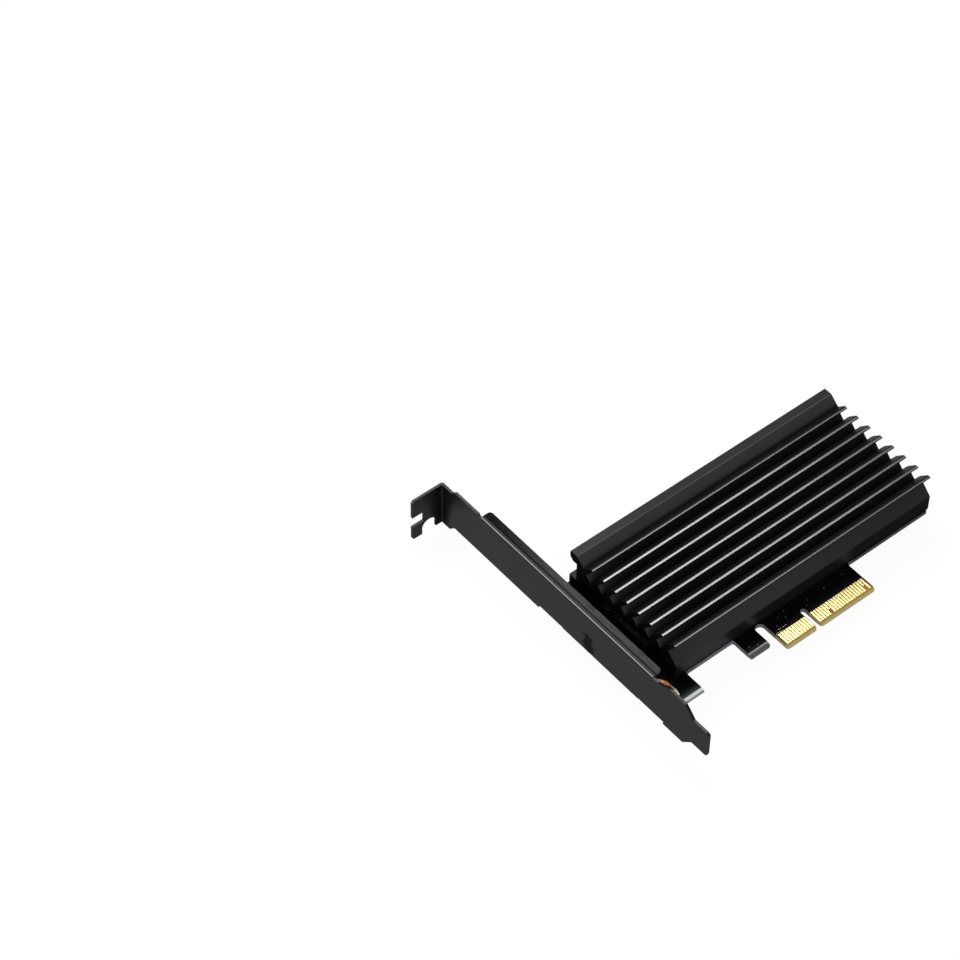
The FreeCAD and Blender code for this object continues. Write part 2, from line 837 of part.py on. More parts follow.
def upper_contact_path(gauge, gap):
    """Side profile of an upper contact: tail behind the socket, rise, then spring above the slot."""
    rear = size.pin_gauge + size.pin_gap * 2
    top = size.socket_slot_high + gauge + gap * 2
    return [
        (-size.pin_tail - gap, -gap),
        (rear + gauge + gap, -gap),
        (rear + gauge + gap, size.socket_slot_high - gap),
        (size.socket_lower_jaw + gap, size.socket_slot_high - gap),
        (size.socket_lower_jaw + gap, top),
        (rear - gap, top),
        (rear - gap, gauge + gap),
        (-size.pin_tail - gap, gauge + gap),
    ]


def lower_contact_path(gauge, gap):
    """Side profile of a lower contact: spring below the slot, drop, then tail under the mouth."""
    front = size.socket_lower_jaw - size.socket_lead * 2
    low = size.socket_slot_low - gauge - gap * 2
    rear = size.socket_slot_rear + size.socket_lead - gap
    tail_end = size.socket_depth + size.pin_tail + gap
    return [
        (rear, low),
        (front - gauge - gap, low),
        (front - gauge - gap, -gap),
        (tail_end, -gap),
        (tail_end, gauge + gap),
        (front + gap, gauge + gap),
        (front + gap, size.socket_slot_low + gap),
        (rear, size.socket_slot_low + gap),
    ]


def socket_rows():
    """The two contact groups either side of the key: name, first centre, count."""
    return [("main", size.socket_pin_first, size.socket_pins_before_key),
            ("keyed", size.socket_pin_after_key, size.socket_pins_after_key)]


def socket_body(label):
    """A sub-part of the socket: X = 0 at its rear, Y = 0 at the bay's centre."""
    return new_body(label, size.socket_rear, size.bay_centre, 0)


def m2_socket_housing():
    body = socket_body("m2_socket_housing")
    half = size.socket_width / 2
    section = [
        (0, 0),
        (size.socket_lower_jaw, 0),
        (size.socket_lower_jaw, size.socket_slot_low),
        (size.socket_slot_rear, size.socket_slot_low),
        (size.socket_slot_rear, size.socket_slot_high),
        (size.socket_depth - size.socket_lead, size.socket_slot_high),
        (size.socket_depth, size.socket_slot_high + size.socket_lead),
        (size.socket_depth, size.socket_height),
        (0, size.socket_height),
    ]
    add(body, "shell", "XZ_Plane", -half, size.socket_width, [section])
    key = rectangle(size.socket_slot_rear, size.socket_slot_low,
                    size.socket_lower_jaw, size.socket_slot_high)
    key_start = size.socket_key_centre - size.socket_key_width / 2
    add(body, "key", "XZ_Plane", key_start, size.socket_key_width, [key])
    cheek = size.socket_cheek
    side = rectangle(0, 0, size.socket_depth, size.socket_height)
    add(body, "near_cheek", "XZ_Plane", -half, cheek, [side])
    add(body, "far_cheek", "XZ_Plane", half - cheek, cheek, [side])
    for side, path in (("upper", upper_contact_path), ("lower", lower_contact_path)):
        for name, first, count in socket_rows():
            width = size.socket_pitch * (count - 1) + size.pin_channel
            cut(body, "%s_%s_channel" % (side, name), "XZ_Plane", first - size.pin_channel / 2,
                width, [path(size.pin_gauge, size.pin_gap)])


def socket_contacts(label, path):
    """A row of stamped contacts, split by the key."""
    body = socket_body(label)
    for name, first, count in socket_rows():
        pin = add(body, name + "_contact", "XZ_Plane", first - size.pin_width / 2, size.pin_width,
                  [path(size.pin_gauge, as_size(0))])
        repeat(body, name + "_contacts", [pin], "Y", count, size.socket_pitch)


def m2_socket_hold_downs():
    """Soldered L-shaped metal ends that hold the socket down."""
    body = socket_body("m2_socket_hold_downs")
    half = size.socket_width / 2
    start = (size.socket_depth - size.hold_down_depth) / 2
    gauge = size.hold_down_gauge
    for name, side in (("near", -1), ("far", 1)):
        angle = [
            (half * side, 0),
            ((half + size.hold_down_foot) * side, 0),
            ((half + size.hold_down_foot) * side, gauge),
            ((half + gauge) * side, gauge),
            ((half + gauge) * side, size.hold_down_height),
            (half * side, size.hold_down_height),
        ]
        add(body, name + "_angle", "YZ_Plane", start, size.hold_down_depth, [angle])


def m2_standoff():
    """Threaded spacer pressed into the board at the drive's screw."""
    body = new_body("m2_standoff", standoff_across, size.bay_centre, 0)
    turn(body, "turned", [
        (size.standoff_thread, -size.standoff_spigot_length),
        (size.standoff_spigot, -size.standoff_spigot_length),
        (size.standoff_spigot, size.copper_thickness),
        (size.standoff_radius, size.copper_thickness),
        (size.standoff_radius, size.standoff_height),
        (size.standoff_thread, size.standoff_height),
    ])


# ---------------------------------------------------------------- small parts

def chip_row(label, first, count, pitch, length, width, height):
    """A row of chip parts: a body between two raised end terminals."""
    body = new_body(label, first, size.parts_row, 0)
    inset = size.copper_thickness
    bare = rectangle(-length / 2, -width / 2 + inset, length / 2, width / 2 - inset)
    core = add(body, "core", "XY_Plane", inset, height - inset * 2, [bare])
    ends = []
    for name, left in (("near_end", -length / 2), ("far_end", length / 2 - size.terminal)):
        cap = rectangle(left, -width / 2, left + size.terminal, width / 2)
        ends.append(add(body, name, "XY_Plane", 0, height, [cap]))
    repeat(body, "row", [core] + ends, "X", count, pitch)


def small_parts():
    chip_row("bulk_capacitors", size.bulk_first, size.bulk_count, size.bulk_spacing,
             size.bulk_length, size.bulk_width, size.bulk_height)
    chip_row("ceramic_capacitors", size.ceramic_first, size.ceramic_count, size.ceramic_spacing,
             size.ceramic_length, size.ceramic_width, size.ceramic_height)
    chip_row("resistors", size.resistor_first, size.resistor_count, size.resistor_spacing,
             size.ceramic_length, size.ceramic_width, size.resistor_height)
    for number, label in enumerate(("power_led", "activity_led")):
        body = new_body(label, size.led_first + size.led_spacing * number, size.parts_row, 0)
        length = size.ceramic_length
        width = size.ceramic_width
        add(body, "base", "XY_Plane", 0, size.led_height / 2, [centred(length, width)])
        add(body, "lens", "XY_Plane", size.led_height / 2, size.led_height / 2,
            [centred(length - size.terminal * 2, width)])


def led_transistor():
    """Three-legged driver of the activity light."""
    body = new_body("led_transistor", size.transistor_across, size.parts_row, 0)
    lift = size.transistor_leg_gauge
    add(body, "case", "XY_Plane", lift, size.transistor_height - lift,
        [centred(size.transistor_length, size.transistor_width)])
    half = size.transistor_width / 2
    leg_half = size.transistor_leg / 2
    reach = half + size.transistor_leg_reach
    pitch = size.transistor_leg_spacing
    legs = [rectangle(x - leg_half, 0, x + leg_half, reach) for x in (-pitch, pitch)]
    legs.append(rectangle(-leg_half, -reach, leg_half, 0))
    for number, leg in enumerate(legs):
        add(body, "leg_%d" % number, "XY_Plane", 0, lift, [leg])


# ---------------------------------------------------------------- assembly

def write_parts():
    """Check every object, then write each sub-part to a file of its own."""
    doc.recompute()
    for item in doc.Objects:
        if "Invalid" in item.State or "Error" in item.State:
            raise RuntimeError("%s failed: %s" % (item.Name, item.State))
        if item.TypeId == "PartDesign::Pocket":
            if item.Shape.Volume > item.BaseFeature.Shape.Volume - EPSILON:
                raise RuntimeError("%s cuts nothing" % item.Name)
    bodies = [item for item in doc.Objects if item.TypeId == "PartDesign::Body"]
    for body in bodies:
        if body.Shape.isNull() or not body.Shape.isValid():
            raise RuntimeError("%s has a bad shape" % body.Label)
    os.makedirs("parts", exist_ok=True)
    for body in bodies:
        body.Shape.exportStep("parts/%s.step" % body.Label)
        print("%-32s %3d solids %10.3f mm3" % (
            body.Label, len(body.Shape.Solids), body.Shape.Volume))


circuit_board()
component_side_contacts()
solder_side_contacts()
ground_pads("bracket_ground_pads", 0)
ground_pads("solder_side_ground_pads", -size.board_thickness - size.copper_thickness)
length_position_pads()
heatsink()
heatsink_screws()
thermal_pad()
bracket()
bracket_screws()
m2_socket_housing()
socket_contacts("m2_socket_upper_contacts", upper_contact_path)
socket_contacts("m2_socket_lower_contacts", lower_contact_path)
m2_socket_hold_downs()
m2_standoff()
small_parts()
led_transistor()
write_parts()
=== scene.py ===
import math
import random

import bmesh
import bpy
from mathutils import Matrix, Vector


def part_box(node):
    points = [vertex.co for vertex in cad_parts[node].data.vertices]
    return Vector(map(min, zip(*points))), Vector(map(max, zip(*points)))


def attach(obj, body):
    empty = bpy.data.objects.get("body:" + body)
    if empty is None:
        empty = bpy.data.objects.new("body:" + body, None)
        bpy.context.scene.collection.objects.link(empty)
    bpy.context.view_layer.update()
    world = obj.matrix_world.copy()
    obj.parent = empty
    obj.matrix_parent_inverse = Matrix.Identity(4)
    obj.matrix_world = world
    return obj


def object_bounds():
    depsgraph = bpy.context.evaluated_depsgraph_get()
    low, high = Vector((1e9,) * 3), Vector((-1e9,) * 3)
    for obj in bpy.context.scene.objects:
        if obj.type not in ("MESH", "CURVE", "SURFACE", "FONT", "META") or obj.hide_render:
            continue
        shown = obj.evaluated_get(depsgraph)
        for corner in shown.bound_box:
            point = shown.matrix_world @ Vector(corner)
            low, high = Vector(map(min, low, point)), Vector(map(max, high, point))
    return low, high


# The look of an M.2 drive adapter card: black board, gold contacts, black finned heatsink with
# bright fin tips, and a satin black folded bracket. The card's and the camera's places are in
# millimetres; the floor, the lamps and the camera's reach are in metres.

MM = 0.001
ROOT = "root"

CAMERA_PLACE = (-408.446, -398.916, 762.031)
CAMERA_TURN = (40.909, -0.487, -39.505)
CAMERA_FIELD = 16.4895
CAMERA_SHIFT = (-0.00045, 0.00083)
CAMERA_REACH = 20.0

FLOOR_GAP = 0.0002
FLOOR_HALF_WIDTH = 4.0
FLOOR_WHITE_SHARE = 0.95
FLOOR_TONE = 0.82
SURROUNDING_LIGHT = 0.45
# name, offset from the card's middle, width, height, power
LAMPS = (
    ("key_lamp", (0.10, 0.52, 0.75), 0.7, 0.5, 9.0),
    ("front_lamp", (-0.5, -0.6, 0.35), 0.6, 0.4, 4.0),
)

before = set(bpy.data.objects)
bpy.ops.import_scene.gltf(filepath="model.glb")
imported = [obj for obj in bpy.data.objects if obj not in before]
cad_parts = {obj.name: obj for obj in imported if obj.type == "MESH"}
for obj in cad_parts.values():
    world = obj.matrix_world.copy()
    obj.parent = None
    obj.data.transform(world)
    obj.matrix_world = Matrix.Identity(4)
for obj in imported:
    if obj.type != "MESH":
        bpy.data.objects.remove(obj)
cad_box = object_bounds()


def to_metres(place):
    """Millimetres to a vector in metres."""
    return Vector(place) * MM


def limits(node):
    """A CAD node's lowest and highest corners in millimetres."""
    low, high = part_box(node)
    return Vector(low) / MM, Vector(high) / MM


def grey(level, blue=None):
    """A neutral colour, or a slightly cool or warm one when its blue is given."""
    return (level, level, level if blue is None else blue)


SINK_LOW, SINK_HIGH = limits("heatsink")
BOARD_LOW, BOARD_HIGH = limits("circuit_board")
FINGERS_LOW, FINGERS_HIGH = limits("edge_contacts_component_side")
BRACKET_HIGH = limits("bracket")[1]
PADS_LOW, PADS_HIGH = limits("bracket_ground_pads")

# Heatsink
FIN_COUNT = 8
FIRST_FIN_INSET = 1.05
LAST_FIN_INSET = 10.1
FIN_DROP = 0.3
FIN_DEPTH = 6.14
FIRST_FIN = SINK_LOW.y + FIRST_FIN_INSET
FIN_PITCH = (SINK_HIGH.y - LAST_FIN_INSET - FIRST_FIN) / (FIN_COUNT - 1)
FIN_TOP = SINK_HIGH.z - FIN_DROP
GROOVE = FIN_TOP - FIN_DEPTH
LIP_WIDTH = 3.07
LIP_SLOPE = 3.63

# Bracket: its sheet, the place of its scuff, and the middle of the painted shade on its flange
SHEET = 0.86
SCUFF_ALONG = (35.0, 39.5)
SCUFF_ACROSS = (-0.8, 5.2)
FLANGE_SHADE_STEP = 68.0

# Board: the straight edge between its foot and tab, and the connector's far side
BAY_EDGE = 12.2
BAY = (16.05, 34.7)
CONNECTOR_END = 80.7

# Chips: material, CAD node, darker and lighter body colour, length, spacing
CHIP_TERMINAL = 0.4
CHIPS = (
    ("yellow_capacitors", "bulk_capacitors", (0.50, 0.28, 0.04), (0.62, 0.38, 0.07), 3.5, 9.0),
    ("tan_capacitors", "ceramic_capacitors", (0.30, 0.20, 0.11), (0.38, 0.26, 0.15), 1.6, 2.6),
    ("black_resistors", "resistors", grey(0.010, 0.011), grey(0.018), 1.6, 2.6),
)

# Vias: share of the contacts' length, and distance beyond the contacts' upper ends
VIA_INNER = 0.1
VIA_OUTER = 0.2
VIA_HEIGHT = 0.03
VIAS = ((0.06, 1.4), (0.13, 3.6), (0.19, 2.2), (0.22, 4.4),
        (0.42, 1.6), (0.47, 2.9), (0.67, 3.2), (0.9, 3.6))
TAB_VIAS = ((35.0, 7.4), (37.6, 6.6))


# ---------------------------------------------------------------- node helpers

class Finish:
    """A procedural material, built a node at a time on a Principled shader."""

    def __init__(self, name, **sockets):
        self.material = bpy.data.materials.new(name)
        self.material.use_nodes = True
        self.tree = self.material.node_tree
        self.shader = self.tree.nodes["Principled BSDF"]
        for socket, value in sockets.items():
            self.set(socket.replace("_", " "), value)
        self.place = None

    def set(self, socket, value):
        """Give a shader input a plain value or another node's output."""
        target = self.shader.inputs[socket]
        if isinstance(value, bpy.types.NodeSocket):
            self.tree.links.new(value, target)
        else:
            target.default_value = value

    def node(self, kind, inputs, output=0, **settings):
        """Add a node with its inputs set or linked, and return one of its outputs."""
        node = self.tree.nodes.new(kind)
        for name, value in settings.items():
            setattr(node, name, value)
        for key, value in inputs.items():
            if isinstance(value, bpy.types.NodeSocket):
                self.tree.links.new(value, node.inputs[key])
            else:
                node.inputs[key].default_value = value
        return node.outputs[output]

    def math(self, operation, first, second=0.0):
        """One arithmetic step."""
        return self.node("ShaderNodeMath", {0: first, 1: second}, operation=operation)

    def millimetres(self):
        """The surface point in the card's frame, in millimetres."""
        if self.place is None:
            point = self.node("ShaderNodeTexCoord", {}, "Object")
            self.place = self.node("ShaderNodeVectorMath", {0: point, "Scale": 1 / MM},
                                   operation="SCALE")
        return self.place

    def axis(self, letter, vector=None):
        """One coordinate of the surface point, or of another vector."""
        source = self.millimetres() if vector is None else vector
        return self.node("ShaderNodeSeparateXYZ", {0: source}, letter.upper())

    def facing(self, letter):
        """How far the surface's normal points along one axis, from -1 to 1."""
        normal = self.node("ShaderNodeNewGeometry", {}, "True Normal")
        return self.axis(letter, normal)

    def above(self, value, edge, soft):
        """0 below an edge and 1 above it, with a soft step."""
        return self.node("ShaderNodeMapRange", {
            "Value": value, "From Min": edge - soft / 2, "From Max": edge + soft / 2},
            interpolation_type="SMOOTHSTEP")

    def below(self, value, edge, soft):
        """1 below an edge and 0 above it, with a soft step."""
        return self.math("SUBTRACT", 1.0, self.above(value, edge, soft))

    def between(self, value, low, high, soft):
        """1 from a low edge to a high one, with soft steps."""
        return self.math("MULTIPLY", self.above(value, low, soft), self.below(value, high, soft))

    def all_of(self, first, *others):
        """Where every mask holds."""
        for mask in others:
            first = self.math("MULTIPLY", first, mask)
        return first

    def any_of(self, first, *others):
        """Where at least one mask holds."""
        for mask in others:
            first = self.math("MAXIMUM", first, mask)
        return first

    def noise(self, scale, stretch=(1.0, 1.0, 1.0), detail=3.0, roughness=0.5):
        """Noise whose scale is in features per millimetre."""
        place = self.node("ShaderNodeVectorMath", {0: self.millimetres(), 1: stretch},
                          operation="MULTIPLY")
        return self.node("ShaderNodeTexNoise", {"Vector": place, "Scale": scale,
                                                "Detail": detail, "Roughness": roughness})

    def level(self, value, low, high):
        """Stretch the middle of a noise between two levels."""
        return self.node("ShaderNodeMapRange", {"Value": value, "From Min": 0.3, "From Max": 0.7,
                                                "To Min": low, "To Max": high})

    def mix(self, factor, first, second):
        """Mix two colours."""
        inputs = {"Factor": factor}
        for key, colour in ((6, first), (7, second)):
            inputs[key] = colour + (1.0,) if isinstance(colour, tuple) else colour
        return self.node("ShaderNodeMix", inputs, 2, data_type="RGBA")

    def mottled(self, noise, dark, light):
        """Two colours mixed by a noise."""
        return self.mix(self.level(noise, 0.0, 1.0), dark, light)

    def layered(self, colour, *layers):
        """Lay pairs of mask and colour over a colour, one after another."""
        for mask, tone in layers:
            colour = self.mix(mask, colour, tone)
        return colour

    def blend(self, factor, first, second):
        """Mix two numbers."""
        return self.node("ShaderNodeMix", {"Factor": factor, 2: first, 3: second},
                         data_type="FLOAT")

    def relief(self, height, depth, round_edge=0.0):
        """Bump of a depth in millimetres over softly rounded edges."""
        inputs = {"Height": height, "Strength": 1.0, "Distance": depth * MM}
        if round_edge:
            inputs["Normal"] = self.node("ShaderNodeBevel", {"Radius": round_edge * MM},
                                         samples=6)
        self.set("Normal", self.node("ShaderNodeBump", inputs))


def wear(node_names, finish):
    """Give CAD nodes a finish."""
    for name in node_names:
        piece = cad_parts[name]
        piece.data.materials.clear()
        piece.data.materials.append(finish.material)


# ---------------------------------------------------------------- heatsink

def fin_tip_mask(finish, y, z, up, outer_fin):
    """The narrow bright strip on each fin's tip; on the outer fins it is narrower, the rest of
    their tips left black as painted shade.
    """
    strip_start = FIRST_FIN - 0.1
    strip_width = 0.78
    strip_depth = 0.22
    # Painted shade: the outer fins' strips are cut narrower.
    outer_shade_trim = 0.22
    lip_and_slope = 5.0
    behind_fin = finish.math("MODULO", finish.math("SUBTRACT", y, strip_start), FIN_PITCH)
    behind_fin = finish.math("ADD", behind_fin, finish.math("MULTIPLY", outer_fin, outer_shade_trim))
    return finish.all_of(
        finish.above(z, FIN_TOP - strip_depth, soft=0.12),
        finish.above(up, 0.6, soft=0.3),
        finish.below(behind_fin, strip_width, soft=0.1),
        finish.below(y, SINK_HIGH.y - lip_and_slope, soft=0.2),
    )


def lip_layers(finish, x, y, z, slanted, lines):
    """The lip's masks and colours, from its broad faces to the thin line on its front edge: painted
    light near the bracket, painted shade at the foot of its slanted face and a painted highlight on
    its front edge.
    """
    foot_depth = 2.4
    edge_depth = 0.3
    lip_front = SINK_HIGH.y - LIP_WIDTH
    lip = finish.above(y, lip_front - LIP_SLOPE, soft=0.3)
    # Painted shade at the foot of the lip's slanted face.
    slope_foot_shade = finish.all_of(
        finish.between(y, lip_front - LIP_SLOPE - 0.2, lip_front, soft=0.2),
        finish.below(z, SINK_HIGH.z - foot_depth, soft=1.0),
    )
    # Painted highlight: a thin light line on the lip's front edge, broken by the extrusion lines.
    lip_edge = finish.all_of(
        finish.between(y, lip_front - 0.1, lip_front + 0.14, soft=0.08),
        finish.above(z, SINK_HIGH.z - edge_depth, soft=0.1),
    )
    # Painted light: the lip is lighter near the bracket, and its slanted face has its own lit tone.
    lit_near_bracket = finish.below(x, SINK_LOW.x + 16.0, soft=40.0)
    on_slope = finish.all_of(slanted, finish.below(y, lip_front + 0.1, soft=0.1))
    painted_lip_tone = finish.mix(lit_near_bracket, grey(0.018, 0.0185), grey(0.032, 0.0325))
    painted_lip_tone = finish.mix(on_slope, painted_lip_tone, grey(0.027, 0.0275))
    lip_edge_highlight = finish.math("MULTIPLY", lip_edge, finish.level(lines, 0.4, 1.0))
    return (
        (lip, painted_lip_tone),
        (slope_foot_shade, grey(0.004)),
        (lip_edge_highlight, grey(0.085, 0.087)),
    )


def anodised_aluminium():
    """Black anodising with fine extrusion lines and fin tips cut bright; painted light and shade on
    its ramps, walls and lip, and sawn ends that are dull and painted dark as shade.
    """
    finish = Finish("black_anodised_aluminium")
    x, y, z = finish.axis("x"), finish.axis("y"), finish.axis("z")
    up = finish.facing("z")
    lines = finish.noise(3.0, (0.02, 1.0, 1.0), detail=4.0, roughness=0.7)
    clouds = finish.noise(0.08, detail=2.0)
    grain = finish.noise(9.0, detail=2.0)

    fin_reach = 3.0
    last_fin_start = 11.0
    back_depth = 3.2
    ramp_height = 2.0
    front_ramp_height = 2.4
    first_fin = finish.below(y, FIRST_FIN + fin_reach, soft=0.4)
    last_fin = finish.above(y, SINK_HIGH.y - last_fin_start, soft=0.4)
    outer_fin = finish.any_of(first_fin, last_fin)
    tips = fin_tip_mask(finish, y, z, up, outer_fin)
    slanted = finish.between(up, 0.5, 0.9, soft=0.1)
    fins = finish.below(y, SINK_HIGH.y - LIP_WIDTH - LIP_SLOPE, soft=0.3)
    # Painted shade on the upper backs of the fins, under the tips.
    fin_back_shade = finish.all_of(fins, finish.above(z, FIN_TOP - back_depth, soft=0.6))
    ramps = finish.all_of(fins, slanted, finish.below(z, GROOVE + ramp_height, soft=0.6))
    front_ramp = finish.all_of(first_fin, slanted,
                               finish.below(z, GROOVE + front_ramp_height, soft=0.6))
    # Painted shade: the front wall is darker, and darker still past the connector.
    front_wall = finish.below(finish.facing("y"), -0.8, soft=0.1)
    shaded_wall = finish.all_of(front_wall, finish.above(x, CONNECTOR_END, soft=8.0))
    # The sawn ends are dull, and painted dark as shade.
    sawn = finish.above(finish.math("ABSOLUTE", finish.facing("x")), 0.7, soft=0.2)

    # Painted light: the groove ramps are lighter, most of all near the bracket's open end.
    lit_near_bracket = finish.below(x, SINK_LOW.x + 8.0, soft=16.0)
    painted_ramp_light = finish.mix(lit_near_bracket, grey(0.016, 0.0165), grey(0.040, 0.041))
    # Painted light on the front ramp, fading to painted shade towards the far end.
    shade_toward_far_end = finish.above(x, SINK_HIGH.x - 40.0, soft=60.0)
    painted_front_ramp_tone = finish.mix(shade_toward_far_end, grey(0.027, 0.0275), grey(0.019, 0.0195))
    black = finish.mottled(clouds, grey(0.0100, 0.0105), grey(0.0145, 0.0150))
    black = finish.layered(
        black,
        (fin_back_shade, grey(0.005)),
        (ramps, painted_ramp_light),
        (front_ramp, painted_front_ramp_tone),
        (front_wall, grey(0.006)),
        (shaded_wall, grey(0.0012)),
        *lip_layers(finish, x, y, z, slanted, lines),
        (sawn, grey(0.0022, 0.0023)),
    )

    bright = finish.mottled(lines, grey(0.155, 0.158), grey(0.225, 0.23))
    # Painted shade: the bright tips are darkened towards the far end and on the outer fins.
    far_end = finish.above(x, SINK_HIGH.x - 22.0, soft=50.0)
    tip_shade = finish.any_of(finish.math("MULTIPLY", far_end, 0.85),
                        finish.math("MULTIPLY", outer_fin, 0.75))
    bright = finish.mix(tip_shade, bright, grey(0.07, 0.072))

    finish.set("Base Color", finish.mix(tips, black, bright))
    finish.set("Metallic", finish.math("MULTIPLY", tips, 0.85))
    dull = finish.blend(sawn, finish.level(grain, 0.42, 0.52), 0.9)
    dull = finish.blend(shaded_wall, dull, 0.9)
    finish.set("Roughness", finish.blend(tips, dull, 0.36))
    finish.set("Specular IOR Level", 0.06)
    finish.relief(finish.math("ADD", lines, finish.math("MULTIPLY", grain, 0.5)),
                  depth=0.006, round_edge=0.12)
    return finish


# ---------------------------------------------------------------- bracket

def scuff_mask(finish, x, y):
    """One small dull scuff with a ragged edge on the bracket's outer face."""
    raggedness = 9.0
    centred_noise = finish.math("SUBTRACT", finish.noise(0.5), 0.5)
    ragged = finish.math("MULTIPLY", centred_noise, raggedness)
    along = finish.math("ADD", y, ragged)
    across = finish.math("ADD", finish.axis("z"), ragged)
    return finish.all_of(
        finish.between(along, *SCUFF_ALONG, soft=1.5),
        finish.between(across, *SCUFF_ACROSS, soft=1.5),
        finish.below(x, 0.3, soft=0.2),
    )


def satin_black_sheet():
    """Black plated sheet: satin, faintly pebbled, with one dull scuff; painted highlights along its
    bent edge, its cut top edges and the ear's corner, and painted shade near the ear.
    """
    finish = Finish("satin_black_sheet")
    x, y = finish.axis("x"), finish.axis("y")
    up, out = finish.facing("z"), finish.facing("x")
    pebbles = finish.noise(5.0, roughness=0.6)
    clouds = finish.noise(0.06)
    streaks = finish.noise(2.4, (1.0, 0.10, 1.0), detail=4.0, roughness=0.7)
    scuff = scuff_mask(finish, x, y)

    # Painted shade on the flange towards the ear.
    ear_shade = finish.above(y, FLANGE_SHADE_STEP, soft=44.0)
    # Painted shade on the faces beside the ear's corner.
    fold_shade = finish.all_of(
        finish.below(up, 0.5, soft=0.1),
        finish.above(y, BRACKET_HIGH.y - 3.5, soft=5.0),
        finish.above(x, -3.5, soft=5.0),
    )
    # Painted highlight: a thin light line in the ear's corner.
    crease_highlight = finish.all_of(
        finish.above(y, BRACKET_HIGH.y - SHEET - 0.5, soft=0.2),
        finish.between(x, -0.35, 0.25, soft=0.2),
    )
    # Painted highlight along the bent edge of the flange.
    bend_highlight = finish.all_of(finish.between(up, 0.5, 0.82, soft=0.1),
                         finish.below(out, -0.3, soft=0.2))

    flange = finish.layered(
        finish.mottled(streaks, grey(0.012, 0.0125), grey(0.080, 0.082)),
        (ear_shade, grey(0.0025)),
        (finish.level(pebbles, 0.0, 0.5), grey(0.006)),
        # Painted shade: a dark line on the flange beside its bent edge.
        (finish.below(x, SHEET + 0.9, soft=0.5), grey(0.004)),
    )
    # Painted highlight along the sheet's cut top edge.
    sheet_edge_highlight = finish.mottled(pebbles, grey(0.03, 0.031), grey(0.11, 0.113))
    flat_top = finish.mix(finish.below(x, SHEET + 0.05, soft=0.1), flange, sheet_edge_highlight)
    finish.set("Base Color", finish.layered(
        finish.mottled(clouds, grey(0.006, 0.0065), grey(0.009, 0.0095)),
        (fold_shade, grey(0.0015)),
        (crease_highlight, grey(0.016, 0.0165)),
        (finish.above(up, 0.96, soft=0.04), flat_top),
        (bend_highlight, grey(0.24, 0.246)),
        (scuff, grey(0.003)),
    ))

    sheltered = finish.any_of(fold_shade, finish.all_of(finish.above(up, 0.9, soft=0.1), ear_shade))
    satin = finish.blend(sheltered, finish.level(pebbles, 0.30, 0.40), 0.8)
    finish.set("Roughness", finish.blend(scuff, satin, 0.75))
    finish.set("Specular IOR Level", 0.05)
    finish.relief(pebbles, depth=0.008, round_edge=0.15)
    return finish


# ---------------------------------------------------------------- board

def contact_zone(finish, x, y, margin):
    """The part of the board round the edge contacts, wider than them by a margin."""
    return finish.all_of(
        finish.between(x, FINGERS_LOW.x - margin, FINGERS_HIGH.x + margin, soft=0.1),
        finish.below(y, FINGERS_HIGH.y + 0.15, soft=0.1),
    )


